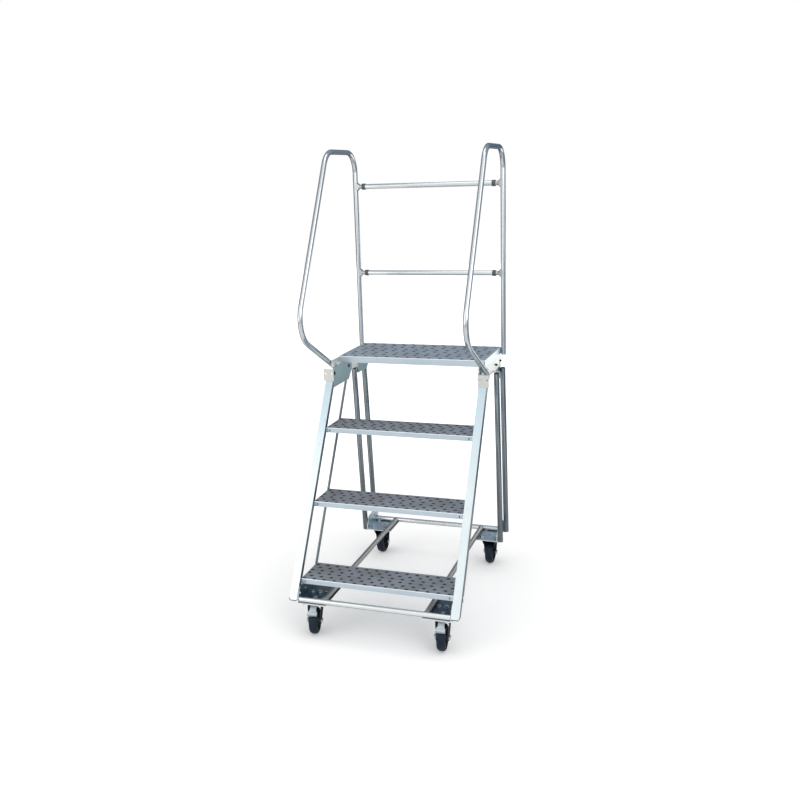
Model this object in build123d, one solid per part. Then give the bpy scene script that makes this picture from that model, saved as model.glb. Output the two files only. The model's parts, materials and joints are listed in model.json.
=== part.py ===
from build123d import *
import math
import os

# Mobile safety steps: three treads and a platform between two bent handrails, on four casters.
# X is the width, Y runs to the rear in the climbing direction, Z is up. Lengths are in mm.
# The pieces are drawn with y = 0 at the nosing of the lowest tread and z = 0 on the floor.

# Stair
rise = 250.0
going = 152.0
tread_count = 3
tread_above_casters = 83.0
tread_length = 590.0
tread_depth = 150.0
tread_lip = 20.0
tread_slot = (4.0, 9.0)
tread_slot_inset = 16.0
sheet = 2.5
sheet_bend = 3.0

# Stiles, straps and the plates that join them to the platform
stile_width = 30.0
stile_depth = 20.0
stile_wall = 2.0
stile_ahead = 7.6
stile_above_casters = 16.0
stile_below_platform = 86.0
stile_foot_radius = 7.0
strap_width = 20.0
plate = 3.0
strap_overlap = 24.0
front_gusset_length = 200.0
front_gusset_height = 80.0
gusset_flange = 39.0
gusset_flange_drop = 7.0
gusset_chamfer = 38.0
stile_tongue = 20.0
corner_radius = 5.0
gusset_holes = (6.0, 32.0)
gusset_hole_diameter = 6.5
gusset_hole_below_arm = 26.0

# Platform
platform_behind_treads = 27.0
platform_depth = 296.0
platform_lip = 26.0
side_plate_height = 77.0
side_arm_height = 29.0
side_arm_reach = 85.0
side_arm_step = 86.0
side_plate_chamfer = 50.0

# Rear legs
leg_diameter = 22.0
leg_wall = 2.0
leg_spacing = 118.0
legs_below_platform = 88.0
leg_foot_inset = 60.0
leg_lean = 59.0 / 741.0
rear_gusset_below_platform = 109.0
rear_gusset_chamfer = 16.0

# Handrails and guard rails: the bends are measured from the platform's front edge and top
rail_diameter = 20.0
rail_wall = 1.5
handrail_foot = (-13.0, -46.0)
handrail_knee = (-366.0, 146.0)
foot_spacer = (40.0, -22.0)
foot_spacer_diameter = 14.0
handrail_height = 792.0
handrail_front_top = -6.0
knee_radius = 112.0
front_bend = 90.0
rear_bend = 80.0
post_inset = 3.0
post_below_top = 31.0
guard_rails_below_top = {"lower": 490.0, "upper": 136.0}
rail_cup_diameter = 25.0
rail_cup = (30.0, 44.0)
rail_neck_diameter = 17.0
rail_saddle_diameter = 34.0
rail_saddle_reach = 20.0

# Base frame
base_tube = 20.0
base_wall = 2.0
side_rail_inset = 97.0
front_tube_ahead = 30.0
rear_tube_behind = 45.0
bracket_width = 109.0
bracket_flange_height = 58.0
bracket_corner = 24.0
front_bracket_ahead = 42.0
front_bracket_length = 170.0
rear_bracket_ahead = 73.0
rear_bracket_length = 140.0

# Casters
wheel_diameter = 100.0
caster_headroom = 27.0
caster_inset = 46.0
front_swivel_y = 20.0
swivel_angles = {"left": 12.0, "right": 6.0}
tyre_width = 32.0
tyre_thickness = 14.0
tyre_crown = 1.4
tyre_shoulder = 7.0
hub_diameter = 24.0
wheel_web = 8.0
axle_diameter = 12.0
axle_nut = 17.0
axle_nut_height = 6.0
wheel_side_gap = 5.0
fork_sheet = 2.5
fork_end_radius = 14.0
fork_bend = 6.0
trail = 28.0
caster_plate_x = 80.0
caster_plate_y = 105.0
caster_plate_corner = 12.0
race_diameter = 50.0
race_height = 9.0
race_lip = 3.0
kingpin_diameter = 12.0
kingpin_nut = 19.0
kingpin_nut_height = 5.0
crown_width = 52.0
crown_length = 52.0
crown_skirt = 30.0
fixed_fork_flare = 12.0
fixed_fork_length = 74.0
fork_taper_height = 24.0
pedal_reach = 50.0
pedal_drop = 10.0
pedal_neck = 24.0
pedal_width = 36.0
pedal_lip = 7.0
pedal_bend = 5.0

# Clearances
seat_gap = 0.3
running_fit = 0.05

# Heights and planes worked out from the sizes above
caster_height = wheel_diameter + caster_headroom
lowest_tread = caster_height + tread_above_casters
slope = going / rise
lean_cos = math.cos(math.atan(slope))
joint_x = tread_length / 2
platform_top = lowest_tread + tread_count * rise
platform_front = tread_count * going + platform_behind_treads
platform_rear = platform_front + platform_depth
platform_half = joint_x + plate + sheet
stile_bottom = caster_height + stile_above_casters
stile_top = platform_top - stile_below_platform
side_plate_top = platform_top - sheet
arm_bottom = side_plate_top - side_arm_height
side_plate_bottom = side_plate_top - side_plate_height
rail_x = platform_half + seat_gap + rail_diameter / 2
rail_top = platform_top + handrail_height
post_y = platform_rear - post_inset
leg_x = joint_x + seat_gap + leg_diameter / 2
leg_bottom = caster_height
leg_top = platform_top - legs_below_platform
leg_foot_y = platform_rear - leg_foot_inset
bracket_top = caster_height + plate
base_tube_z = bracket_top + seat_gap + base_tube / 2
side_rail_x = joint_x - side_rail_inset
front_tube_y = -front_tube_ahead
rear_tube_y = platform_rear + rear_tube_behind
caster_x = joint_x - caster_inset
wheel_radius = wheel_diameter / 2
hub_length = tyre_width + 2 * (wheel_side_gap - seat_gap)
fork_inside = tyre_width / 2 + wheel_side_gap
fork_outside = fork_inside + fork_sheet
plate_under = caster_height - plate
crown_top = plate_under - race_height - seat_gap
crown_under = crown_top - fork_sheet
pedal_top = crown_under - seat_gap
axle_z = wheel_radius

nodes = {}


def box(x, y, z):
    """A block between the limits of x, y and z."""
    (x0, x1), (y0, y1), (z0, z1) = x, y, z
    return Pos((x0 + x1) / 2, (y0 + y1) / 2, (z0 + z1) / 2) * Box(x1 - x0, y1 - y0, z1 - z0)


def side_sheet(points, x0, x1):
    """A flat piece whose outline is given as (y, z) points, from x0 to x1."""
    face = Plane.YZ * make_face(Polyline(*points, close=True))
    return Pos(x0, 0, 0) * extrude(face, x1 - x0)


def rod(start, end, diameter):
    """A solid round bar from one point to another."""
    start, end = Vector(*start), Vector(*end)
    plane = Plane(start, z_dir=end - start)
    return extrude(plane * Circle(diameter / 2), (end - start).length)


def tube(start, end, diameter, wall):
    """A round tube from one point to another, open at its ends."""
    return rod(start, end, diameter) - rod(start, end, diameter - 2 * wall)


def add(name, shape):
    """Stores a piece that is already in its place."""
    nodes[name] = shape


def add_pair(name, shape):
    """Stores a right-hand piece and its mirror image on the left."""
    nodes[name + "_right"] = shape
    nodes[name + "_left"] = mirror(shape, about=Plane.YZ)


def pan(x, y, top, lip):
    """A pressed sheet with a lip down all four sides and rounded upper edges."""
    (x0, x1), (y0, y1) = x, y
    outer = box(x, y, (top - lip, top))
    outer = fillet(outer.edges().group_by(Axis.Z)[-1], sheet_bend)
    inner = box((x0 + sheet, x1 - sheet), (y0 + sheet, y1 - sheet), (top - lip, top - sheet))
    return outer - fillet(inner.edges().group_by(Axis.Z)[-1], sheet_bend - sheet)


def stile_front(z):
    """Y of a stile's front face at height z."""
    return slope * (z - lowest_tread) - stile_ahead


def strap_middle(z):
    """Y of a strap's middle line at height z: it passes the rear edge of every tread."""
    return slope * (z - lowest_tread) + tread_depth


def leg_y(z, row):
    """Y of a leg's axis at height z, row 0 in front and row 1 behind."""
    return leg_foot_y + row * leg_spacing + (caster_height - z) * leg_lean


def make_stile():
    """A sloping box tube, open at both ends, with a rounded outer corner at its foot."""
    def sloping(inset):
        shift = inset / lean_cos
        back = stile_depth / lean_cos - shift
        low, high = stile_front(stile_bottom), stile_front(stile_top)
        points = [
            (low + shift, stile_bottom),
            (low + back, stile_bottom),
            (high + back, stile_top),
            (high + shift, stile_top),
        ]
        return side_sheet(points, joint_x + inset, joint_x + stile_width - inset)

    front_view = Plane.XZ * make_face(Polyline(
        (joint_x, stile_bottom),
        (joint_x + stile_width, stile_bottom),
        (joint_x + stile_width, stile_top),
        (joint_x, stile_top),
        close=True,
    ))
    foot = front_view.vertices().group_by(Axis.Z)[0].sort_by(Axis.X)[-1]
    outline = extrude(fillet(foot, stile_foot_radius), 2 * platform_rear, both=True)
    return (sloping(0) - sloping(stile_wall)) & outline


def make_tread(number):
    """A folded tread whose front lip has an upright slot near each end."""
    top = lowest_tread + number * rise
    front = number * going
    tread = pan((-joint_x, joint_x), (front, front + tread_depth), top, tread_lip)
    width, height = tread_slot
    middle = top - (tread_lip + sheet) / 2
    for side in (-1, 1):
        slot = Plane.XZ * SlotOverall(height, width, rotation=90)
        cutter = extrude(slot, 2 * sheet, both=True)
        tread -= Pos(side * (joint_x - tread_slot_inset), front, middle) * cutter
    return tread


def make_strap():
    half = strap_width / 2 / lean_cos
    low = caster_height + strap_overlap
    high = front_gusset_bottom + strap_overlap
    points = [
        (strap_middle(low) - half, low),
        (strap_middle(low) + half, low),
        (strap_middle(high) + half, high),
        (strap_middle(high) - half, high),
    ]
    return side_sheet(points, joint_x, joint_x + plate)


def make_front_gusset():
    front = gusset_front
    rear = front + front_gusset_length
    low, high = front_gusset_bottom, arm_bottom
    points = [
        (front, low),
        (rear - gusset_chamfer, low),
        (rear, low + gusset_chamfer),
        (rear, high),
        (front, high),
    ]
    web = side_sheet(points, joint_x - plate, joint_x)
    flange = box(
        (joint_x - plate, joint_x + gusset_flange),
        (front, front + plate),
        (stile_top + seat_gap, high - gusset_flange_drop),
    )
    inset = stile_wall + seat_gap
    tongue = box(
        (joint_x + inset, joint_x + stile_width - inset),
        (front, front + plate),
        (stile_top - stile_tongue, stile_top + plate),
    )
    gusset = web + flange + tongue
    for x in gusset_holes:
        middle = (joint_x + x, front - plate, high - gusset_hole_below_arm)
        end = (joint_x + x, front + 2 * plate, high - gusset_hole_below_arm)
        gusset -= rod(middle, end, gusset_hole_diameter)
    return gusset


def make_side_plate():
    front = platform_front - side_arm_reach
    low, middle, high = side_plate_bottom, arm_bottom, side_plate_top
    step = middle - low
    points = [
        (front, middle),
        (platform_front + plate + step / 2, middle),
        (platform_front + side_arm_step, low),
        (platform_rear - side_plate_chamfer, low),
        (platform_rear, low + side_plate_chamfer),
        (platform_rear, high),
        (front, high),
    ]
    return side_sheet(points, joint_x, joint_x + plate)


def make_platform():
    """The deck laps over the side plates, and its end lips stop short of them."""
    depth = (platform_front, platform_rear)
    low = platform_top - platform_lip
    deck = pan((-platform_half, platform_half), depth, platform_top, platform_lip)
    for side in (-1, 1):
        edges = sorted((side * (joint_x - seat_gap), side * (platform_half - sheet)))
        deck -= box(edges, depth, (low, side_plate_top))
    return deck


def make_rear_gusset():
    low, high = platform_top - rear_gusset_below_platform, arm_bottom
    front = leg_y(low, 0) + leg_diameter / 2 + seat_gap
    rear = leg_y(low, 1) + leg_diameter / 2 + seat_gap
    cut = rear_gusset_chamfer
    points = [
        (front, low),
        (rear - cut, low),
        (rear, low + cut),
        (rear, high - cut),
        (rear - cut, high),
        (front, high),
    ]
    web = side_sheet(points, joint_x - plate, joint_x)
    flange = box(
        (joint_x - plate, leg_x + leg_diameter / 2),
        (front, front + plate),
        (low, side_plate_bottom - seat_gap),
    )
    return web + flange


def make_leg(row):
    foot = (leg_x, leg_y(leg_bottom, row), leg_bottom)
    head = (leg_x, leg_y(leg_top, row), leg_top)
    return tube(foot, head, leg_diameter, leg_wall)


def make_handrail():
    """A bent tube: foot with a spacer to the arm, knee in front, sloping rise, level top and rear post."""
    corners = [
        (platform_front + handrail_foot[0], platform_top + handrail_foot[1]),
        (platform_front + handrail_knee[0], platform_top + handrail_knee[1]),
        (platform_front + handrail_front_top, rail_top),
        (post_y, rail_top),
        (post_y, platform_top - post_below_top),
    ]
    path = FilletPolyline(*[(rail_x, y, z) for y, z in corners], radius=[knee_radius, front_bend, rear_bend])
    start = Plane(path @ 0, z_dir=path % 0)
    outer = sweep(start * Circle(rail_diameter / 2), path=path)
    inner = sweep(start * Circle(rail_diameter / 2 - rail_wall), path=path)
    y, z = corners[0][0] - foot_spacer[0], corners[0][1] - foot_spacer[1]
    arm_face = joint_x + plate + seat_gap
    spacer = rod((arm_face, y, z), (rail_x, y, z), foot_spacer_diameter)
    return outer + spacer - inner


def make_guard_rail(drop):
    """A cross tube that ends in two cups, each on a flared neck that is coped to its rear post."""
    z = rail_top - drop
    near, far = rail_x - rail_cup[0], rail_x - rail_cup[1]
    bar = tube((-near, post_y, z), (near, post_y, z), rail_diameter, rail_wall)
    section = make_face(Polyline(
        (far, 0),
        (far, rail_neck_diameter / 2),
        (rail_x - rail_saddle_reach, rail_neck_diameter / 2),
        (rail_x - rail_diameter / 2, rail_saddle_diameter / 2),
        (rail_x, rail_saddle_diameter / 2),
        (rail_x, 0),
        close=True,
    ))
    beside_post = (post_y - rail_diameter / 2, post_y + rail_diameter / 2)
    saddle = Pos(0, post_y, z) * revolve(section, Axis.X)
    saddle &= box((far, rail_x), beside_post, (z - rail_saddle_diameter, z + rail_saddle_diameter))
    end = saddle + rod((far, post_y, z), (near, post_y, z), rail_cup_diameter)
    bar += end + mirror(end, about=Plane.YZ)
    for side in (-1, 1):
        x = side * rail_x
        low, high = (x, post_y, z - rail_saddle_diameter), (x, post_y, z + rail_saddle_diameter)
        bar -= rod(low, high, rail_diameter + 2 * seat_gap)
    return max(bar.solids(), key=lambda solid: solid.volume)


def make_cross_tube(y):
    end = joint_x - plate
    return tube((-end, y, base_tube_z), (end, y, base_tube_z), base_tube, base_wall)


def make_side_rail():
    start = (side_rail_x, front_tube_y, base_tube_z)
    end = (side_rail_x, rear_tube_y, base_tube_z)
    bar = tube(start, end, base_tube, base_wall)
    for y in (front_tube_y, rear_tube_y):
        x0, x1 = side_rail_x - base_tube, side_rail_x + base_tube
        bar -= rod((x0, y, base_tube_z), (x1, y, base_tube_z), base_tube + 2 * seat_gap)
    return max(bar.solids(), key=lambda solid: solid.volume)


def make_bracket(front, length):
    """An angle bracket: a plate on top of the caster and an outer flange for the stile or the legs."""
    rear = front + length
    low, high = caster_height, caster_height + bracket_flange_height
    points = [
        (front, low),
        (rear, low),
        (rear, high - bracket_corner),
        (rear - bracket_corner, high),
        (front + bracket_corner, high),
        (front, low + base_tube),
    ]
    flange = side_sheet(points, joint_x - plate, joint_x)
    base = box((joint_x - bracket_width, joint_x), (front, rear), (low, low + plate))
    inner_corners = base.edges().filter_by(Axis.Z).group_by(Axis.X)[0]
    return flange + fillet(inner_corners, corner_radius)


def make_tyre():
    """A solid tyre: a low crown and two sloping shoulders round a flat seat."""
    half = tyre_width / 2
    inner = wheel_radius - tyre_thickness
    side = [
        (half / 2, wheel_radius - tyre_crown),
        (half, wheel_radius - tyre_shoulder),
        (half, inner),
    ]
    points = [(0, wheel_radius)] + side + [(-px, py) for px, py in reversed(side)]
    return Pos(0, 0, axle_z) * revolve(make_face(Polyline(*points, close=True)), Axis.X)


def make_wheel():
    """A wheel centre: hub, web and rim, turned about the axle."""
    rim = wheel_radius - tyre_thickness - seat_gap
    bore = axle_diameter / 2 + running_fit
    side = [
        (hub_length / 2, bore),
        (hub_length / 2, hub_diameter / 2),
        (wheel_web / 2, hub_diameter / 2),
        (wheel_web / 2, rim - plate),
        (tyre_width / 2 - plate, rim - plate),
        (tyre_width / 2 - plate, rim),
    ]
    points = side + [(-px, py) for px, py in reversed(side)]
    return Pos(0, 0, axle_z) * revolve(make_face(Polyline(*points, close=True)), Axis.X)


def hexagon(across):
    """A bolt head's or nut's outline, by its width across flats."""
    return RegularPolygon(across / 2, 6, major_radius=False)


def make_axle():
    """An axle bolt with a hexagon head and nut outside the fork's cheeks."""
    half = fork_outside + seat_gap
    axle = rod((-half, 0, axle_z), (half, 0, axle_z), axle_diameter)
    for start in (-half - axle_nut_height, half):
        plane = Plane((start, 0, axle_z), z_dir=(1, 0, 0))
        axle += extrude(plane * hexagon(axle_nut), axle_nut_height)
    return axle


def make_caster_plate():
    outline = RectangleRounded(caster_plate_x, caster_plate_y, caster_plate_corner)
    return extrude(Pos(0, 0, plate_under) * outline, plate)


def make_swivel_plate():
    """Top plate, dished ball race and kingpin of a swivel caster, about its swivel axis."""
    race = race_diameter / 2
    pin = kingpin_diameter / 2
    race_under = plate_under - race_height
    nut_top = pedal_top - fork_sheet - seat_gap
    nut_bottom = nut_top - kingpin_nut_height
    section = Polyline(
        (0, plate_under),
        (race, plate_under),
        (race, race_under + race_lip),
        (race - race_lip, race_under),
        (pin, race_under),
        (pin, nut_top),
        (0, nut_top),
        close=True,
    )
    nut = extrude(Pos(0, 0, nut_bottom) * hexagon(kingpin_nut), kingpin_nut_height)
    return make_caster_plate() + revolve(Plane.XZ * make_face(section), Axis.Z) + nut


def bent_sheet(outline, inside, radii):
    """The section between two outlines whose corners are rounded, the inner ones less by the sheet."""
    outer = FilletPolyline(*outline, radius=radii)
    inner = FilletPolyline(*inside, radius=[radius - fork_sheet for radius in radii])
    ends = [Line(outline[0], inside[0]), Line(outline[-1], inside[-1])]
    return make_face(outer.edges() + inner.edges() + ends)


def cheek_outline(foot_y, top_span, skirt, top_z):
    """Side view of a fork: a round end about the axle that widens to its top."""
    front, rear = top_span
    corners = Polyline((front, top_z), (rear, top_z), (rear, top_z - skirt))
    face = make_hull((Pos(foot_y, axle_z) * Circle(fork_end_radius)).edges() + corners.edges())
    return extrude(Plane.YZ * face, crown_width, both=True)


def axle_holes(wheel_y):
    reach = crown_width
    hole = axle_diameter + 2 * seat_gap
    return rod((-reach, wheel_y, axle_z), (reach, wheel_y, axle_z), hole)


def make_swivel_fork():
    """A pressed fork: a crown under the ball race, bent down to two cheeks that narrow to the wheel."""
    low = axle_z - fork_end_radius
    bend = wheel_diameter - fork_taper_height
    wide = crown_width / 2
    right = [(fork_outside, low), (fork_outside, bend), (wide, bend + fork_taper_height), (wide, crown_top)]
    inside = [(x - fork_sheet, min(z, crown_under)) for x, z in right]
    left = [(-x, z) for x, z in reversed(right)]
    left_inside = [(-x, z) for x, z in reversed(inside)]
    section = bent_sheet(right + left, inside + left_inside, [fork_bend] * 6)
    strip = extrude(Plane.XZ * section, wheel_diameter, both=True)
    span = (-crown_length / 2, crown_length / 2)
    fork = strip & cheek_outline(-trail, span, crown_skirt, crown_top)
    fork -= rod((0, 0, crown_under - plate), (0, 0, crown_top + plate), kingpin_diameter + 2 * running_fit)
    return fork - axle_holes(-trail)


def make_fixed_fork():
    """A rigid caster's fork: two cheeks that spread towards the top plate they are welded to."""
    low = axle_z - fork_end_radius
    bend = wheel_diameter - fork_taper_height / 2
    wide = fork_outside + fixed_fork_flare
    outline = [(fork_outside, low), (fork_outside, bend), (wide, plate_under)]
    inside = [(x - fork_sheet, z) for x, z in outline]
    section = bent_sheet(outline, inside, [fork_bend])
    cheek = extrude(Plane.XZ * section, wheel_diameter, both=True)
    span = (-fixed_fork_length / 2, fixed_fork_length / 2)
    both = (cheek + mirror(cheek, about=Plane.YZ)) & cheek_outline(0, span, fork_end_radius, plate_under)
    return both + make_caster_plate() - axle_holes(0)


def make_pedal():
    """The brake pedal: a leaf under the crown that bends down in front to a wide turned lip."""
    neck = pedal_neck / 2
    level = pedal_top - fork_sheet / 2
    tip = -trail - pedal_reach
    low = level - pedal_drop
    path = FilletPolyline(
        (0, neck, level),
        (0, tip + 2 * pedal_lip + 2 * pedal_drop, level),
        (0, tip + 2 * pedal_lip, low),
        (0, tip, low - fork_sheet),
        (0, tip, low - fork_sheet - pedal_lip),
        radius=[2 * pedal_bend, pedal_bend, pedal_bend / 2],
    )
    start = Plane(path @ 0, x_dir=(1, 0, 0), z_dir=path % 0)
    leaf = sweep(start * Rectangle(pedal_width, fork_sheet), path=path)
    shoulder = tip + 2 * pedal_lip
    plan = make_face(Polyline(
        (neck, neck),
        (neck, shoulder + pedal_lip),
        (pedal_width / 2, shoulder - pedal_lip),
        (pedal_width / 2, tip - fork_sheet),
        (-pedal_width / 2, tip - fork_sheet),
        (-pedal_width / 2, shoulder - pedal_lip),
        (-neck, shoulder + pedal_lip),
        (-neck, neck),
        close=True,
    ))
    leaf = leaf & extrude(plan, caster_height)
    hole = kingpin_diameter + 2 * seat_gap
    return leaf - rod((0, 0, level - plate), (0, 0, level + plate), hole)


gusset_front = stile_front(stile_top) + stile_wall / lean_cos + seat_gap
front_gusset_bottom = arm_bottom - front_gusset_height

add_pair("stile", make_stile())
for number in range(tread_count):
    add(f"tread_{number + 1}", make_tread(number))
add_pair("strap", make_strap())
add_pair("front_gusset", make_front_gusset())
add_pair("side_plate", make_side_plate())
add("platform", make_platform())
add_pair("rear_gusset", make_rear_gusset())
add_pair("front_leg", make_leg(0))
add_pair("rear_leg", make_leg(1))
add_pair("handrail", make_handrail())
for name, drop in guard_rails_below_top.items():
    add(f"guard_rail_{name}", make_guard_rail(drop))
add("front_cross_tube", make_cross_tube(front_tube_y))
add("rear_cross_tube", make_cross_tube(rear_tube_y))
add_pair("side_rail", make_side_rail())
add_pair("front_bracket", make_bracket(-front_bracket_ahead, front_bracket_length))
add_pair("rear_bracket", make_bracket(platform_rear - rear_bracket_ahead, rear_bracket_length))

# Each caster is drawn about its own upright axis; the front ones stand turned a little
for side, sign in (("left", -1), ("right", 1)):
    fixed = Pos(sign * caster_x, front_swivel_y, 0)
    turned = fixed * Rot(0, 0, swivel_angles[side])
    wheel_place = turned * Pos(0, -trail, 0)
    rear_place = Pos(sign * caster_x, platform_rear, 0)
    add(f"swivel_plate_{side}", fixed * make_swivel_plate())
    add(f"swivel_fork_{side}", turned * make_swivel_fork())
    add(f"brake_pedal_{side}", turned * make_pedal())
    add(f"fixed_fork_{side}", rear_place * make_fixed_fork())
    for row, place in (("front", wheel_place), ("rear", rear_place)):
        add(f"{row}_axle_{side}", place * make_axle())
        add(f"{row}_wheel_{side}", place * make_wheel())
        add(f"{row}_tyre_{side}", place * make_tyre())

# The origin is on the floor under the middle of the whole assembly
limits = Compound(children=[Compound(shape.solids()) for shape in nodes.values()]).bounding_box()
middle_y = (limits.min.Y + limits.max.Y) / 2

os.makedirs("parts", exist_ok=True)
for name, shape in nodes.items():
    solids = (Pos(0, -middle_y, 0) * shape).solids()
    export_step(solids[0] if len(solids) == 1 else Compound(solids), f"parts/{name}.step")

print("middle_y", round(middle_y, 4))
print("size", [round(v, 2) for v in (limits.size.X, limits.size.Y, limits.size.Z)])
print("casters at x", caster_x, "swivel y", round(front_swivel_y - middle_y, 4))
print("rear axle y", round(platform_rear - middle_y, 4), "axle z", axle_z, "trail", trail)
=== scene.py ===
import json
import math

import bmesh
import bpy
from mathutils import Matrix, Vector


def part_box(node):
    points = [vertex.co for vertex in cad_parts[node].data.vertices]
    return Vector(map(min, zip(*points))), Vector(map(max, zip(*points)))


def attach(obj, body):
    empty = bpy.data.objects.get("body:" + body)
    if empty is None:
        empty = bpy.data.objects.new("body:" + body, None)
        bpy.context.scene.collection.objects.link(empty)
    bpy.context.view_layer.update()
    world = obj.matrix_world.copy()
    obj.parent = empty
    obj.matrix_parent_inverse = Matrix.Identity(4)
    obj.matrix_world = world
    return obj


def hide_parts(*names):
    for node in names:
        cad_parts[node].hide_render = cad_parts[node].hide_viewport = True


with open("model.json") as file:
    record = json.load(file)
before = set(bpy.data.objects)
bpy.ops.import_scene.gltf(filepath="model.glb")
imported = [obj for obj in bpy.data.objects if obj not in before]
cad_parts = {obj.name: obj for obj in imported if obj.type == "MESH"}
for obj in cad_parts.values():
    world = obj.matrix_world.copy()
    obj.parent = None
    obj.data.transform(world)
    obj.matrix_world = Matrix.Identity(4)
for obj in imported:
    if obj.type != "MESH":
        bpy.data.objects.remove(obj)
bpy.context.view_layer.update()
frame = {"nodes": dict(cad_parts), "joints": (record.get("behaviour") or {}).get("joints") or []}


# The studio: a pale floor under white air and three soft lamps. Shiny metal also mirrors a dim wall
# round the back of the steps, with one bright panel in it, that the camera itself doesn't see.
class Tone:
    """A value in a finish that is added, multiplied and turned round like a number."""

    def __init__(self, finish, socket):
        self.finish = finish
        self.socket = socket

    def sum_of(self, operation, first, second):
        return self.finish.node("ShaderNodeMath", {"operation": operation}, {0: first, 1: second})

    def __add__(self, other):
        return self.sum_of("ADD", self, other)

    def __radd__(self, other):
        return self.sum_of("ADD", other, self)

    def __sub__(self, other):
        return self.sum_of("SUBTRACT", self, other)

    def __rsub__(self, other):
        return self.sum_of("SUBTRACT", other, self)

    def __mul__(self, other):
        return self.sum_of("MULTIPLY", self, other)

    def __rmul__(self, other):
        return self.sum_of("MULTIPLY", other, self)

    def __neg__(self):
        return 0 - self

    def __abs__(self):
        return self.finish.node("ShaderNodeMath", {"operation": "ABSOLUTE"}, {0: self})


class Finish:
    """One finish and the nodes that make it."""

    def __init__(self, name, tree=None):
        if tree is None:
            self.material = bpy.data.materials.new(name)
            self.material.use_nodes = True
            tree = self.material.node_tree
        self.tree = tree
        self.shader = tree.nodes.get("Principled BSDF")

    def node(self, kind, settings, values, out=0):
        """A node of that kind, with its settings and the values or links of its sockets."""
        made = self.tree.nodes.new(kind)
        for name, value in settings.items():
            setattr(made, name, value)
        for name, value in values.items():
            self.give(made.inputs[name], value)
        return Tone(self, made.outputs[out])

    def give(self, socket, value):
        if isinstance(value, Tone):
            self.tree.links.new(value.socket, socket)
        else:
            socket.default_value = value

    def set(self, **values):
        """Fills the shader's sockets: base_color stands for Base Color, and so on."""
        for name, value in values.items():
            self.give(self.shader.inputs[name.replace("_", " ").title().replace("Ior", "IOR")], value)
        return self

    def where(self):
        return self.node("ShaderNodeTexCoord", {}, {}, "Object")

    def stretched(self, scale, turn=(0, 0, 0)):
        """The place on the piece, drawn out along an axis whose scale is small."""
        settings = {"vector_type": "TEXTURE"}
        values = {"Vector": self.where(), "Scale": [1 / s for s in scale], "Rotation": turn}
        return self.node("ShaderNodeMapping", settings, values)

    def cloud(self, scale, detail=3.0, roughness=0.55, place=None):
        """Soft patches, scale of them to a metre, from 0 to 1."""
        place = self.where() if place is None else place
        values = {"Vector": place, "Scale": scale, "Detail": detail, "Roughness": roughness}
        return self.node("ShaderNodeTexNoise", {}, values)

    def part(self, vector, axis):
        return self.node("ShaderNodeSeparateXYZ", {}, {0: vector}, axis)

    def facing(self, axis):
        """How far the surface looks along an axis, from -1 to 1."""
        return self.part(self.node("ShaderNodeNewGeometry", {}, {}, "Normal"), axis)

    def band(self, value, low, high):
        """0 below low, 1 above high, and a soft step between."""
        values = {"Value": value, "From Min": low, "From Max": high}
        return self.node("ShaderNodeMapRange", {"interpolation_type": "SMOOTHSTEP"}, values)

    def rubbed(self, radius):
        """1 along outer edges and corners, within radius of them, and 0 on flat places."""
        rounded = self.node("ShaderNodeBevel", {"samples": 6}, {"Radius": radius})
        flat = self.node("ShaderNodeNewGeometry", {}, {}, "Normal")
        settings = {"operation": "DOT_PRODUCT"}
        alike = self.node("ShaderNodeVectorMath", settings, {0: rounded, 1: flat}, "Value")
        return self.band(1 - alike, 0.03, 0.25)

    def blend(self, share, first, second):
        """The first colour where share is 0 and the second where it is 1."""
        first, second = (c if isinstance(c, Tone) else (*c, 1.0) for c in (first, second))
        return self.node("ShaderNodeMix", {"data_type": "RGBA"}, {0: share, 6: first, 7: second}, 2)

    def overlay(self, share, colour):
        """Lays a colour over the one that the finish has so far, where share is 1."""
        so_far = Tone(self, self.shader.inputs["Base Color"].links[0].from_socket)
        return self.set(base_color=self.blend(share, so_far, colour))

    def relief(self, height, distance, strength=1.0):
        """A bump of that many metres where height is 1."""
        return self.node("ShaderNodeBump", {}, {"Height": height, "Distance": distance, "Strength": strength})


def set_piece(name, shape, finish, body=None, sharp=35.0):
    """Makes an object of a bmesh whose place is in its mesh. With no body it is left unattached, as the
    studio's pieces are.
    """
    bmesh.ops.remove_doubles(shape, verts=shape.verts, dist=1e-6)
    bmesh.ops.recalc_face_normals(shape, faces=shape.faces)
    for face in shape.faces:
        face.smooth = True
    mesh = bpy.data.meshes.new(name)
    shape.to_mesh(mesh)
    shape.free()
    mesh.set_sharp_from_angle(angle=math.radians(sharp))
    mesh.materials.append(finish.material)
    made = bpy.data.objects.new(name, mesh)
    bpy.context.scene.collection.objects.link(made)
    if body is None:
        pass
    else:
        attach(made, body)
    return made


floor_finish = Finish("studio_floor")
seen = floor_finish.node("ShaderNodeLightPath", {}, {}, "Is Camera Ray")
away = floor_finish.node("ShaderNodeVectorMath", {"operation": "LENGTH"}, {0: floor_finish.where()}, "Value")
glow = seen * (0.20 + 0.45 * floor_finish.band(away, 0.5, 2.2))
floor_finish.set(base_color=(0.93, 0.93, 0.93, 1), roughness=0.9, specular_ior_level=0.0)
floor_finish.set(emission_color=floor_finish.blend(glow, (0, 0, 0), (1, 1, 1)), emission_strength=1.0)
shape = bmesh.new()
bmesh.ops.create_circle(shape, cap_ends=True, segments=96, radius=14.0)
set_piece("studio_floor", shape, floor_finish)

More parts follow.
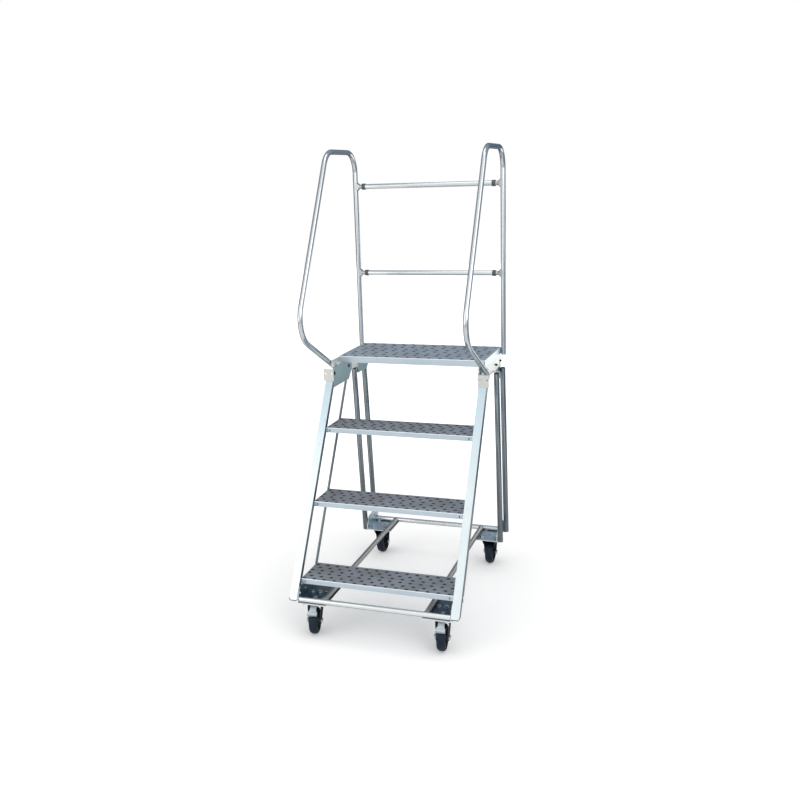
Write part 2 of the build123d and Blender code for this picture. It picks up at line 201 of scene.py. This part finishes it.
wall_finish = Finish("dim_wall")
place = wall_finish.where()
x, z = wall_finish.part(place, "X"), wall_finish.part(place, "Z")
wall_tone = wall_finish.blend(wall_finish.band(x, -1.2, 0.4), (0.31, 0.29, 0.29), (0.23, 0.29, 0.36))
wall_tone = wall_finish.blend(wall_finish.band(z, 1.4, 2.6), wall_tone, (0.36, 0.41, 0.46))
panel = wall_finish.band(x, 0.22, 0.42) * (1 - wall_finish.band(x, 1.05, 1.25))
panel = panel * wall_finish.band(z, 0.40, 0.55) * (1 - wall_finish.band(z, 1.28, 1.42))
wall_tone = wall_finish.blend(panel, wall_tone, (1.7, 1.68, 1.62))
wall_finish.set(base_color=(0.02, 0.022, 0.025, 1), roughness=1.0, specular_ior_level=0.0)
wall_finish.set(emission_color=wall_tone, emission_strength=1.0)
low_profile = ((1.45, 0.0), (1.55, 0.4), (1.65, 0.8), (1.72, 1.2))
high_profile = ((1.72, 1.2), (1.78, 1.6), (1.75, 2.0), (1.6, 2.4), (1.35, 2.7), (1.0, 2.9), (0.55, 3.0))
# columns: name, (radius, height) points, first and last angle from +X
walls = (("low_wall", low_profile, -30, 190), ("high_wall", high_profile, 0, 215))
for name, profile, start, end in walls:
    shape = bmesh.new()
    line = [shape.verts.new((radius, 0, height)) for radius, height in profile]
    edges = [shape.edges.new(pair) for pair in zip(line, line[1:])]
    bmesh.ops.rotate(shape, verts=shape.verts, matrix=Matrix.Rotation(math.radians(start), 3, "Z"))
    turn = math.radians(end - start)
    bmesh.ops.spin(shape, geom=line + edges, axis=(0, 0, 1), cent=(0, 0, 0), steps=48, angle=turn)
    wall = set_piece(name, shape, wall_finish)
    wall.visible_camera = False
    wall.visible_diffuse = False
    wall.visible_shadow = False

world = bpy.data.worlds.new("white_air")
world.use_nodes = True
bpy.context.scene.world = world
air = Finish("white_air", world.node_tree)
kinds = ("Camera", "Glossy", "Transmission")
by_eye, by_gloss, by_glass = (air.node("ShaderNodeLightPath", {}, {}, f"Is {kind} Ray") for kind in kinds)
settings = {"operation": "ADD", "use_clamp": True}
white = air.node("ShaderNodeMath", settings, {0: by_eye + by_gloss, 1: by_glass})
background = world.node_tree.nodes["Background"]
background.inputs["Color"].default_value = (1, 1, 1, 1)
air.give(background.inputs["Strength"], 0.65 + 0.35 * white)

# columns: name, place, width in metres, watts
lamps = (
    ("key", (2.6, -2.4, 3.0), 3.4, 44.0),
    ("fill", (-2.8, -2.6, 2.0), 3.2, 24.0),
    ("top", (0.4, 0.6, 4.2), 3.4, 34.0),
)
lit_point = Vector((0, 0, 0.8))
for name, place, width, power in lamps:
    light = bpy.data.lights.new(f"{name}_lamp", "AREA")
    light.shape = "SQUARE"
    light.size = width
    light.energy = power
    lamp = bpy.data.objects.new(f"{name}_lamp", light)
    aim = (lit_point - Vector(place)).to_track_quat("-Z", "Y").to_matrix().to_4x4()
    lamp.matrix_world = Matrix.Translation(place) @ aim
    bpy.context.scene.collection.objects.link(lamp)

bpy.context.scene.view_settings.view_transform = "Standard"

eye = (1.0829, -3.24725, 1.6541)
yaw, pitch, roll = math.radians(18.7), math.radians(-13.8), math.radians(-1.8)
ahead = Vector((-math.sin(yaw) * math.cos(pitch), math.cos(yaw) * math.cos(pitch), math.sin(pitch)))
level = Vector((math.cos(yaw), math.sin(yaw), 0.0))
above = level.cross(ahead)
across = level * math.cos(roll) + above * math.sin(roll)
upright = above * math.cos(roll) - level * math.sin(roll)
camera = bpy.data.objects.new("camera", bpy.data.cameras.new("camera"))
camera.data.sensor_width = 36.0
camera.data.lens = 41.018
aim = Matrix((across, upright, -ahead)).transposed().to_4x4()
camera.matrix_world = Matrix.Translation(eye) @ aim
bpy.context.scene.collection.objects.link(camera)
bpy.context.scene.camera = camera


# The base: two cross tubes and two side rails of round steel tube, cut and saddled to each other.
# The cross tubes are plated bright, while the side rails are dull and warm grey from handling.
def dress(finish, *nodes):
    """Gives CAD nodes their finish."""
    for name in nodes:
        for slot in frame["nodes"][name].material_slots:
            slot.material = finish.material


def both(*names):
    return [f"{name}_{side}" for name in names for side in ("left", "right")]


def plated_tube(name, dark, light, roughness, along, underside_shade=0.0):
    """Zinc on drawn tube: faint clouds, draw lines and scuffs, and a painted shade, as strong as the last
    argument says, on the side that faces the floor.
    """
    tube = Finish(name)
    clouds = tube.cloud(5.0, 2.0)
    drawn = tube.cloud(120.0, 2.0, place=tube.stretched(along))
    scuffs = tube.band(tube.cloud(42.0, 3.0, 0.6), 0.66, 0.80)
    colour = tube.blend(clouds * 0.65 + drawn * 0.35, dark, light)
    colour = tube.blend(scuffs * 0.15, colour, [c * 0.5 for c in dark])
    # painted shade: the side that faces the floor turns dark and a little rougher
    under = tube.band(-tube.facing("Z"), 0.35, 0.8)
    colour = tube.blend(under * underside_shade, colour, (0.10, 0.095, 0.09))
    gloss = roughness + 0.05 * clouds + 0.05 * scuffs + 0.1 * under * underside_shade
    tube.set(base_color=colour, metallic=1.0, roughness=gloss, normal=tube.relief(drawn, 0.00001, 0.15))
    tube.set(specular_tint=(0.40, 0.45, 0.49, 1))
    return tube


# both cross tubes and both side rails carry the painted shade on their undersides
cross_zinc = plated_tube("cross_tube_zinc", (0.74, 0.76, 0.765), (0.86, 0.88, 0.885), 0.16, (0.03, 1, 1), 0.7)
dress(cross_zinc, "front_cross_tube", "rear_cross_tube")
rail_zinc = plated_tube("side_rail_zinc", (0.42, 0.41, 0.40), (0.62, 0.60, 0.585), 0.42, (1, 0.03, 1), 0.5)
dress(rail_zinc, *both("side_rail"))


# Angle brackets over the casters: bent zinc plate that carries the stiles, straps and legs on its
# flange. Each caster hangs from four bolts with nuts below, round heads fasten the flanges, and a
# larger bolt stands alone on each front bracket.
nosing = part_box("tread_1")[0].y


def spot(x, y, z):
    """A place on the steps, in mm from the middle, the lowest tread's front and the floor."""
    return Vector((x / 1000, nosing + y / 1000, z / 1000))


def seat(place, way=(0, 0, 1)):
    """Moves a small part from the origin to a place, and turns its top to look along way."""
    return Matrix.Translation(place) @ Vector(way).to_track_quat("Z", "Y").to_matrix().to_4x4()


def turned(profile, steps, closed=False):
    """A part turned from a line of (radius, height) points in mm."""
    part = bmesh.new()
    line = [part.verts.new((radius / 1000, 0, height / 1000)) for radius, height in profile]
    ends = line + line[:1] if closed else line
    edges = [part.edges.new(pair) for pair in zip(ends, ends[1:])]
    bmesh.ops.spin(
        part, geom=line + edges, axis=(0, 0, 1), cent=(0, 0, 0), steps=steps, angle=math.tau, use_merge=True
    )
    return part


def put(shape, part, matrix, keep=False):
    """Adds a part to a shape in its place."""
    mesh = bpy.data.meshes.new("part")
    part.to_mesh(mesh)
    mesh.transform(matrix)
    shape.from_mesh(mesh)
    bpy.data.meshes.remove(mesh)
    if not keep:
        part.free()


def hexagon(across, height):
    """A hexagon head or nut whose top corners are chamfered."""
    part = bmesh.new()
    radius = across / 1000 / math.sqrt(3)
    middle = Matrix.Translation((0, 0, height / 2000))
    bmesh.ops.create_cone(
        part, cap_ends=True, segments=6, radius1=radius, radius2=radius, depth=height / 1000, matrix=middle
    )
    top = max(part.faces, key=lambda face: face.calc_center_median().z)
    bmesh.ops.inset_region(part, faces=[top], thickness=0.0011, depth=0.0006)
    return part


def add_bolt(shape, place, way=(0, 0, 1), across=13.0, washer=17.0, thread=0.0):
    """A hexagon on a washer; thread is how far the bolt's end stands out of a nut."""
    here = seat(place, way)
    rim, core, chamfer = washer / 2, across / 4, 0.7
    washer_height, head_height = 1.6, 5.0
    ring = [(0, 0), (rim, 0), (rim, 1.2), (rim - 0.4, washer_height), (0, washer_height)]
    put(shape, turned(ring, 20), here)
    put(shape, hexagon(across, head_height), here @ Matrix.Translation((0, 0, washer_height / 1000)))
    if thread:
        top = washer_height + head_height + thread
        end = [(0, 6), (core, 6), (core, top - chamfer), (core - chamfer, top), (0, top)]
        put(shape, turned(end, 12), here)


def add_dome(shape, place, way, radius, height):
    """A low round head with a flat washer rim under it."""
    rim_height = 1.2
    rise = [(radius * math.cos(a), rim_height + height * math.sin(a)) for a in (0, 0.35, 0.7, 1.05)]
    rim = [(0, 0), (radius * 1.35, 0), (radius * 1.35, 1.0), (radius * 1.25, rim_height)]
    put(shape, turned(rim + rise + [(0, rim_height + height)], 18), seat(place, way))


def sheet_zinc(name, dark, light, along, turn=(0, 0, 0)):
    """Zinc on rolled sheet or box tube: clouds, roll lines, stains, and edges worn bright."""
    sheet = Finish(name)
    clouds = sheet.cloud(10.0, 5.0)
    rolled = sheet.cloud(140.0, 3.0, place=sheet.stretched(along, turn))
    stains = sheet.band(sheet.cloud(48.0, 3.0, 0.6), 0.62, 0.76)
    colour = sheet.blend(clouds * 0.7 + rolled * 0.3, dark, light)
    colour = sheet.blend(stains * 0.28, colour, [c * 0.6 for c in dark])
    colour = sheet.blend(sheet.rubbed(0.0015) * 0.75, colour, (0.90, 0.92, 0.93))
    gloss = 0.30 + 0.14 * rolled + 0.14 * stains
    sheet.set(base_color=colour, metallic=0.9, roughness=gloss, normal=sheet.relief(rolled, 0.00006, 0.5))
    return sheet


# the front pair's zinc is far darker than the rear pair's: painted shade
bracket_tones = {
    "front": ((0.05, 0.08, 0.11), (0.20, 0.27, 0.33)),
    "rear": ((0.12, 0.20, 0.28), (0.80, 0.92, 0.97)),
}
for row, (dark, light) in bracket_tones.items():
    bracket_zinc = sheet_zinc(f"{row}_bracket_zinc", dark, light, (1, 0.05, 1))
    # painted reflection: faces that look forward, and the strip of plate just ahead of the cross tube, are
    # pale and less metallic
    ahead = nosing - bracket_zinc.part(bracket_zinc.where(), "Y")
    edge = bracket_zinc.band(-bracket_zinc.facing("Y"), 0.6, 0.9) + bracket_zinc.band(ahead, 0.030, 0.037)
    bracket_zinc.overlay(edge * 0.9, (0.86, 0.89, 0.91)).set(metallic=0.9 - 0.7 * edge)
    dress(bracket_zinc, *both(f"{row}_bracket"))


def bolt_steel(name, dark, light, edge, rub, worn, metallic, roughness):
    """Small turned and pressed steel: fine grain, faint clouds, and corners rubbed to the edge tone."""
    steel = Finish(name)
    clouds = steel.cloud(60.0, 3.0)
    colour = steel.blend(clouds, dark, light)
    colour = steel.blend(steel.rubbed(rub) * worn, colour, edge)
    steel.set(base_color=colour, metallic=metallic, roughness=roughness + 0.2 * clouds)
    steel.set(normal=steel.relief(steel.cloud(700.0, 2.0), 0.00004, 0.4))
    return steel


bolt_zinc = bolt_steel(
    "bolt_zinc", (0.30, 0.37, 0.43), (0.62, 0.71, 0.78),
    edge=(0.80, 0.84, 0.86), rub=0.0006, worn=0.7, metallic=1.0, roughness=0.2,
)
caster_x, front_caster_y, rear_caster_y, lone_bolt_y = 249.0, 20.0, 779.0, 62.0
bolt_pitch_x, bolt_pitch_y = 58.0, 82.0
bracket_top, plate_under, flange_inside = 130.0, 124.0, 292.0
flange_heads = ((-22.0, 161.0), (28.0, 160.0), (111.0, 158.0), (752.0, 162.0), (806.0, 162.0))
shape = bmesh.new()
for side in (-1, 1):
    for caster_y in (front_caster_y, rear_caster_y):
        for x in (side * (caster_x - bolt_pitch_x / 2), side * (caster_x + bolt_pitch_x / 2)):
            for y in (caster_y - bolt_pitch_y / 2, caster_y + bolt_pitch_y / 2):
                add_bolt(shape, spot(x, y, bracket_top))
                add_bolt(shape, spot(x, y, plate_under), (0, 0, -1), across=13.0, washer=16.0, thread=3.0)
        add_dome(shape, spot(side * caster_x, caster_y, bracket_top), (0, 0, 1), radius=7.0, height=2.6)
    add_bolt(shape, spot(side * caster_x, lone_bolt_y, bracket_top), across=16.0, washer=20.0)
    for y, z in flange_heads:
        add_dome(shape, spot(side * flange_inside, y, z), (-side, 0, 0), radius=5.0, height=3.0)
set_piece("bracket_bolts", shape, bolt_zinc, "frame")


# Weld beads of the base: short runs of laid metal where tube meets tube or plate, ground a little
# and plated over with the rest.
def weld_ring(shape, place, way, radius, width):
    """A rippled bead round a tube."""
    angles = (0, 1.05, 2.1, 3.14, 4.2, 5.2)
    section = [(radius + width * math.cos(a), width * math.sin(a)) for a in angles]
    ring = turned(section, 44, closed=True)
    for vert in ring.verts:
        angle = math.atan2(vert.co.y, vert.co.x)
        swell = 1 + 0.03 * math.sin(22 * angle) + 0.02 * math.sin(7 * angle + 1)
        vert.co.x *= swell
        vert.co.y *= swell
    put(shape, ring, seat(place, way))


weld_finish = Finish("weld_metal")
clouds = weld_finish.cloud(180.0, 3.0)
weld_finish.set(base_color=weld_finish.blend(clouds, (0.20, 0.20, 0.20), (0.50, 0.51, 0.51)), metallic=0.95)
weld_finish.set(roughness=0.35 + 0.25 * clouds, normal=weld_finish.relief(clouds, 0.0003, 0.5))

tube_z, side_rail_x, tube_end = 140.3, 198.0, 291.4
front_tube_y, rear_tube_y, saddle = -30.0, 824.0, 9.4
leg_outside, leg_feet, leg_bottom, leg_lean = 297.6, (719.0, 837.0), 127.0, 59.0 / 741.0
bead_heights, bead_beside = (130.0, 150.0, 170.0), 6.8
bead_profile = [(0, -9.0), (1.6, -8.0), (2.1, -4.0), (1.8, 0), (2.2, 4.0), (1.5, 8.0), (0, 9.0)]
shape = bmesh.new()
for side in (-1, 1):
    for tube_y, way in ((front_tube_y, 1), (rear_tube_y, -1)):
        weld_ring(shape, spot(side * tube_end, tube_y, tube_z), (side, 0, 0), radius=10.4, width=1.5)
        meeting = spot(side * side_rail_x, tube_y + way * saddle, tube_z)
        weld_ring(shape, meeting, (0, way, 0), radius=9.6, width=1.8)
    for foot_y in leg_feet:
        for z in bead_heights:
            leg_y = foot_y + (leg_bottom - z) * leg_lean
            for beside in (-bead_beside, bead_beside):
                bead = seat(spot(side * leg_outside, leg_y + beside, z), (0, -0.08, 1))
                put(shape, turned(bead_profile, 10), bead)
set_piece("base_welds", shape, weld_finish, "frame", sharp=60.0)


# Casters: pressed steel plates and forks under zinc, two fixed at the rear, and in front two that
# swivel on a ball race and carry a brake pedal. The pedals' tops are lighter: painted light.
def caster_zinc(name, dark, light, roughness, worn):
    """Zinc on pressed steel: clouds, grime in patches, and edges worn bright by as much as worn says."""
    steel = Finish(name)
    clouds = steel.cloud(30.0, 4.0)
    grime = steel.band(steel.cloud(75.0, 3.0, 0.65), 0.58, 0.74)
    colour = steel.blend(clouds, dark, light)
    colour = steel.blend(grime * 0.5, colour, (0.05, 0.055, 0.06))
    colour = steel.blend(steel.rubbed(0.001) * worn, colour, (0.85, 0.88, 0.90))
    steel.set(base_color=colour, metallic=0.95, roughness=roughness + 0.15 * clouds + 0.2 * grime)
    steel.set(normal=steel.relief(clouds, 0.00015, 0.4))
    return steel


plate_zinc = caster_zinc("caster_plate_zinc", (0.50, 0.59, 0.65), (0.78, 0.85, 0.88), 0.22, 0.8)
dress(plate_zinc, *both("swivel_plate", "front_axle", "rear_axle"))
pedal_zinc = caster_zinc("brake_pedal_zinc", (0.20, 0.30, 0.35), (0.50, 0.62, 0.68), 0.24, 0.8)
# painted light: the up-facing tops of the pedals are pale and less metallic
topside = pedal_zinc.band(pedal_zinc.facing("Z"), 0.6, 0.9)
pedal_zinc.overlay(topside * 0.85, (0.86, 0.91, 0.93)).set(metallic=0.95 - 0.6 * topside)
dress(pedal_zinc, *both("brake_pedal"))
# the forks' zinc is near black, the rear fixed forks darkest of all: painted shade under the plates
fork_zinc = caster_zinc("caster_fork_zinc", (0.03, 0.035, 0.042), (0.09, 0.105, 0.12), 0.24, 0.25)
fork_zinc.set(specular_tint=(0.2, 0.22, 0.25, 1))
dress(fork_zinc, *both("swivel_fork"))
fixed_zinc = caster_zinc("fixed_fork_zinc", (0.014, 0.016, 0.02), (0.06, 0.07, 0.08), 0.28, 0.2)
fixed_zinc.set(specular_tint=(0.15, 0.16, 0.18, 1))
dress(fixed_zinc, *both("fixed_fork"))


# Wheels: dark moulded centres with six ribs a side, and solid black tyres with a round crown, a
# fine mould line round the middle and a groove in each flank.
core_plastic = Finish("wheel_plastic")
speckle = core_plastic.cloud(900.0, 2.0)
dust = core_plastic.band(core_plastic.cloud(45.0, 4.0, 0.6), 0.45, 0.75)
core_plastic.set(base_color=core_plastic.blend(dust * 0.5, (0.018, 0.020, 0.024), (0.10, 0.10, 0.10)))
core_plastic.set(roughness=0.42 + 0.25 * dust, normal=core_plastic.relief(speckle, 0.00006, 0.5))
dress(core_plastic, *both("front_wheel", "rear_wheel"))

rubber = Finish("tyre_rubber")
speckle = rubber.cloud(1300.0, 2.0)
dust = rubber.band(rubber.cloud(60.0, 4.0, 0.6), 0.42, 0.78)
rubber.set(base_color=rubber.blend(dust * 0.6, (0.004, 0.012, 0.027), (0.017, 0.032, 0.053)))
rubber.set(roughness=0.42 + 0.25 * dust, specular_ior_level=0.25, normal=rubber.relief(speckle, 0.00008, 0.6))

# (radius, distance from the wheel's middle plane), from the bore over the groove to the mould line
flank = [(36.2, 16.0), (39.0, 16.0), (39.6, 15.4), (40.2, 15.9), (42.6, 15.6)]
flank += [(45.2, 14.2), (47.3, 11.6), (48.8, 8.0), (49.6, 4.0), (49.75, 0.7)]
mould_line = [(50.0, 0.35), (50.0, -0.35)]
tyre_profile = flank + mould_line + [(radius, -beside) for radius, beside in reversed(flank)]
rib_count, rib_size, rib_from_axle, rib_from_middle = 6, (19.6, 3.2, 5.6), 22.2, 6.6
for joint in frame["joints"]:
    if not joint["name"].endswith("_roll"):
        continue
    row, _, side, _ = joint["name"].split("_")
    here, roller = seat(Vector(joint["pos_m"]), joint["axis"]), f"{row}_roller_{side}"
    shape = bmesh.new()
    put(shape, turned(tyre_profile, 72, closed=True), here)
    tyre = set_piece(f"{row}_round_tyre_{side}", shape, rubber, roller, sharp=50.0)
    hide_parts(f"{row}_tyre_{side}")
    shape = bmesh.new()
    for number in range(rib_count):
        around = Matrix.Rotation(number * math.tau / rib_count, 4, "Z")
        for face in (-1, 1):
            rib = bmesh.new()
            bmesh.ops.create_cube(rib, size=1.0)
            bmesh.ops.scale(rib, verts=rib.verts, vec=[size / 1000 for size in rib_size])
            bmesh.ops.bevel(
                rib, geom=rib.edges[:], offset=0.0007, affect="EDGES", segments=1, profile=0.5, material=-1
            )
            out = Matrix.Translation((rib_from_axle / 1000, 0, face * rib_from_middle / 1000))
            put(shape, rib, here @ around @ out)
    set_piece(f"{row}_wheel_ribs_{side}", shape, core_plastic, roller)


# Rear legs: two pairs of round tube that lean forward from the rear brackets to the gussets under
# the platform. Their zinc is duller than the handrails', with a bluish cast, and darkens downward.
leg_zinc = plated_tube("leg_zinc", (0.24, 0.27, 0.285), (0.38, 0.425, 0.445), 0.13, (1, 1, 0.03))
low = 1 - leg_zinc.band(leg_zinc.part(leg_zinc.where(), "Z"), 0.15, 0.80)
leg_zinc.overlay(low * 0.65, (0.10, 0.12, 0.135))
dress(leg_zinc, *both("front_leg", "rear_leg"))


# Stiles and straps: box tube and flat bar with a bluish zinc skin. They run up the slope of the
# stair, so their roll lines do too. A dark plastic rim closes the foot of each stile.
up_slope = (math.radians(-31.3), 0, 0)
stile_zinc = sheet_zinc("stile_zinc", (0.62, 0.72, 0.76), (0.84, 0.90, 0.92), (1, 1, 0.03), up_slope)
high = stile_zinc.band(stile_zinc.part(stile_zinc.where(), "Z"), 0.50, 0.90)
stile_zinc.overlay(high * 0.7, (0.50, 0.66, 0.75))
# painted shade: the stiles' side faces are dark
beside = stile_zinc.band(abs(stile_zinc.facing("X")), 0.7, 0.95)
stile_zinc.overlay(beside * 0.88, (0.05, 0.065, 0.075))
dress(stile_zinc, *both("stile"))
# the straps' zinc is far darker than the stiles': painted shade
strap_zinc = sheet_zinc("strap_zinc", (0.14, 0.17, 0.185), (0.26, 0.30, 0.32), (1, 1, 0.03), up_slope)
dress(strap_zinc, *both("strap"))

plug_plastic = Finish("plug_plastic")
speckle = plug_plastic.cloud(900.0, 2.0)
dust = plug_plastic.band(plug_plastic.cloud(70.0, 4.0, 0.6), 0.45, 0.75)
plug_plastic.set(base_color=plug_plastic.blend(dust * 0.5, (0.012, 0.014, 0.016), (0.07, 0.075, 0.08)))
plug_plastic.set(roughness=0.45 + 0.2 * dust, normal=plug_plastic.relief(speckle, 0.00005, 0.5))
# the stile's foot is cut level, and its outer corner is rounded about this point
corner_x, corner_z = 318.0, 150.0
rim_top, rim_bottom, rim_front, rim_length = 142.9, 139.6, -48.0, 22.8
quarter = (0.4, 0.8, 1.2, math.pi / 2)
rim = [(295.2, rim_top), (corner_x, rim_top)]
rim += [(corner_x + 6.9 * math.sin(a), corner_z - 7.1 * math.cos(a)) for a in quarter]
for angle, radius in ((1.2, 8.1), (0.8, 9.1), (0.4, 9.9)):
    rim.append((corner_x + radius * math.sin(angle), corner_z - radius * math.cos(angle)))
rim += [(corner_x, rim_bottom), (297.0, rim_bottom), (295.4, 141.0)]
shape = bmesh.new()
for side in (-1, 1):
    plug = bmesh.new()
    face = plug.faces.new([plug.verts.new(spot(side * x, rim_front, z)) for x, z in rim])
    grown = bmesh.ops.extrude_face_region(plug, geom=[face])
    back = [item for item in grown["geom"] if isinstance(item, bmesh.types.BMVert)]
    bmesh.ops.translate(plug, verts=back, vec=(0, rim_length / 1000, 0))
    put(shape, plug, Matrix.Identity(4))
set_piece("stile_plugs", shape, plug_plastic, "frame")


# Gussets and side plates: cut and folded zinc sheet that ties stiles, straps and legs to the
# platform. Black round heads stand inside, and the two rear ones have a nut outside.
gusset_zinc = sheet_zinc("gusset_zinc", (0.17, 0.26, 0.28), (0.27, 0.37, 0.39), (1, 0.06, 1))
# painted light: the faces that look forward are a pale warm grey
front = gusset_zinc.band(-gusset_zinc.facing("Y"), 0.6, 0.9)
gusset_zinc.overlay(front * 0.85, (0.80, 0.78, 0.75))
dress(gusset_zinc, *both("front_gusset", "rear_gusset"))
side_zinc = sheet_zinc("side_plate_zinc", (0.50, 0.52, 0.51), (0.70, 0.72, 0.70), (1, 0.06, 1))
dress(side_zinc, *both("side_plate"))

bolt_black = bolt_steel(
    "bolt_black", (0.018, 0.021, 0.024), (0.07, 0.08, 0.09),
    edge=(0.5, 0.53, 0.55), rub=0.0005, worn=0.25, metallic=0.9, roughness=0.3,
)
gusset_inside, bolt_z = 292.0, 903.0
shape = bmesh.new()
for side in (-1, 1):
    for y, z in ((411.0, 904.0), (566.0, bolt_z), (684.0, bolt_z), (772.0, bolt_z)):
        add_dome(shape, spot(side * gusset_inside, y, z), (-side, 0, 0), radius=5.8, height=3.0)
    for y, outside in ((684.0, 298.0), (772.0, 295.0)):
        nut = spot(side * outside, y, bolt_z)
        add_bolt(shape, nut, (side, 0, 0), across=8.0, washer=10.0, thread=1.5)
set_piece("gusset_bolts", shape, bolt_black, "frame")


# Treads and platform: folded zinc sheet pressed with rows of small raised ovals, dished in the middle,
# for grip. The deck is dulled by shoes, and the fold along its front edge carries a painted highlight.
# A dark round head stands behind the slot at each end of a tread's lip: painted shade for the cavity there.
def deck_zinc(name, warm, cool):
    """Zinc on folded sheet: dull and scratched on the deck, a painted highlight on the fold, and pale on the
    lip.
    """
    sheet = Finish(name)
    clouds = sheet.cloud(9.0, 5.0)
    rolled = sheet.cloud(130.0, 3.0, place=sheet.stretched((0.05, 1, 1)))
    up = sheet.facing("Z")
    deck = sheet.band(up, 0.80, 0.98)
    # painted highlight along the bend between deck and lip
    fold_highlight = sheet.band(up, 0.12, 0.5) * (1 - deck)
    lip = sheet.blend(clouds * 0.6 + rolled * 0.4, (0.46, 0.56, 0.64), (0.68, 0.77, 0.83))
    topside = sheet.blend(sheet.band(clouds * 0.7 + rolled * 0.3, 0.3, 0.7), warm, cool)
    scratched = sheet.cloud(260.0, 2.0, place=sheet.stretched((0.12, 1, 1), (0, 0, 0.5)))
    topside = sheet.blend(sheet.band(scratched, 0.66, 0.72) * 0.25, topside, (0.60, 0.62, 0.65))
    colour = sheet.blend(deck, lip, topside)
    colour = sheet.blend(fold_highlight, colour, (0.88, 0.92, 0.94))
    sheet.set(base_color=colour, metallic=0.9 - 0.45 * deck, roughness=0.30 + 0.12 * rolled + 0.12 * deck)
    sheet.set(normal=sheet.relief(rolled, 0.00006, 0.6))
    return sheet


dress(deck_zinc("tread_zinc", (0.235, 0.24, 0.255), (0.34, 0.385, 0.45)), "tread_1", "tread_2", "tread_3")
dress(deck_zinc("platform_zinc", (0.27, 0.315, 0.375), (0.345, 0.415, 0.50)), "platform")

rise, going, lowest_tread, platform_top = 250.0, 152.0, 210.0, 960.0
# dark round heads behind the lip slots: painted shade for the shadowed cavity behind each slot
slot_shade_x, slot_shade_behind, slot_shade_below = 279.0, 2.5, 11.25
shape = bmesh.new()
for side in (-1, 1):
    for number in range(3):
        y, z = going * number + slot_shade_behind, lowest_tread + rise * number - slot_shade_below
        add_dome(shape, spot(side * slot_shade_x, y, z), (0, 1, 0), radius=4.6, height=2.4)
set_piece("slot_shade_heads", shape, bolt_black, "frame")

# the ovals' crest is bright, a painted highlight, and their foot and well dark, a painted shade, by how high
# a place stands over its own deck
oval_zinc = Finish("oval_zinc")
margin = 0.001
steps_up = (oval_zinc.part(oval_zinc.where(), "Z") - lowest_tread / 1000 + margin) * (1000 / rise)
over_deck = oval_zinc.node("ShaderNodeMath", {"operation": "FRACT"}, {0: steps_up}) * (rise / 1000) - margin
crest_glint = oval_zinc.band(over_deck, 0.0007, 0.00105)
clouds = oval_zinc.cloud(60.0, 3.0)
bright = oval_zinc.blend(clouds, (0.16, 0.18, 0.20), (0.42, 0.45, 0.48))
oval_zinc.set(base_color=oval_zinc.blend(crest_glint, (0.014, 0.020, 0.030), bright))
oval_zinc.set(metallic=0.3 + 0.65 * crest_glint, roughness=0.6 - 0.28 * crest_glint + 0.1 * clouds)

oval_sides, oval_width = 12, 0.74
oval_profile = [(0, -0.3), (7.9, -0.3), (7.7, 0.1), (6.9, 0.85)]
oval_profile += [(6.5, 1.05), (6.1, 0.85), (5.7, 0.25), (0, 0.2)]
# rows of ovals: distance behind the front edge, and where one of the row's ovals stands across
tread_rows = ((8.0, 35.6), (31.0, 15.0), (57.0, 35.5), (82.0, 36.8), (106.5, 18.0), (130.0, 39.0))
platform_rows = ((495.0, 30.0), (542.0, 2.5), (575.0, 2.0), (618.0, 17.0))
platform_rows += ((654.0, 16.0), (697.0, 31.0), (736.0, 28.0), (765.0, 12.0))
# columns: name, front edge, top, pitch across, reach to each side, rows
decks = [(f"tread_{n + 1}", going * n, lowest_tread + rise * n, 40.0, 285.0, tread_rows) for n in range(3)]
decks.append(("platform", 0.0, platform_top, 44.0, 290.0, platform_rows))
for name, front, top, pitch, reach, rows in decks:
    shape = bmesh.new()
    oval = turned(oval_profile, oval_sides)
    bmesh.ops.remove_doubles(oval, verts=oval.verts, dist=1e-6)
    bmesh.ops.scale(oval, verts=oval.verts, vec=(1.0, oval_width, 1.0))
    for y, across in rows:
        x = across - pitch * math.ceil((reach + across) / pitch)
        while x <= reach:
            if x >= -reach:
                put(shape, oval, Matrix.Translation(spot(x, front + y, top)), keep=True)
            x += pitch
    oval.free()
    set_piece(f"{name}_ovals", shape, oval_zinc, "frame", sharp=40.0)


# Handrails: one bent tube a side, plated bright. Its foot is bolted to the arm of the side plate
# over a spacer, and its rear post stands against the side of the platform.
hand_zinc = plated_tube("handrail_zinc", (0.56, 0.60, 0.63), (0.72, 0.75, 0.765), 0.14, (1, 1, 0.05))
dress(hand_zinc, *both("handrail"))
foot_y, foot_z, foot_outside, arm_inside = 430.0, 936.0, 320.4, 295.0
shape = bmesh.new()
for side in (-1, 1):
    add_dome(shape, spot(side * foot_outside, foot_y, foot_z), (side, 0, 0), radius=5.0, height=2.4)
    nut = spot(side * arm_inside, foot_y, foot_z)
    add_bolt(shape, nut, (-side, 0, 0), across=10.0, washer=13.0, thread=2.0)
set_piece("handrail_bolts", shape, hand_zinc, "frame")


# Guard rails: straight tubes between the rear posts. Each end sits in a dark plastic cup on a
# flared neck that is welded to the post.
guard_zinc = plated_tube("guard_rail_zinc", (0.66, 0.69, 0.70), (0.82, 0.85, 0.86), 0.15, (0.03, 1, 1))
from_middle = abs(guard_zinc.part(guard_zinc.where(), "X"))
neck = guard_zinc.band(from_middle, 0.2806, 0.2812)
cup = guard_zinc.band(from_middle, 0.2660, 0.2670) * (1 - neck)
guard_zinc.overlay(neck * 0.5, (0.20, 0.23, 0.24))
guard_zinc.overlay(cup, (0.10, 0.115, 0.12)).set(metallic=1 - 0.7 * cup)
dress(guard_zinc, "guard_rail_lower", "guard_rail_upper")
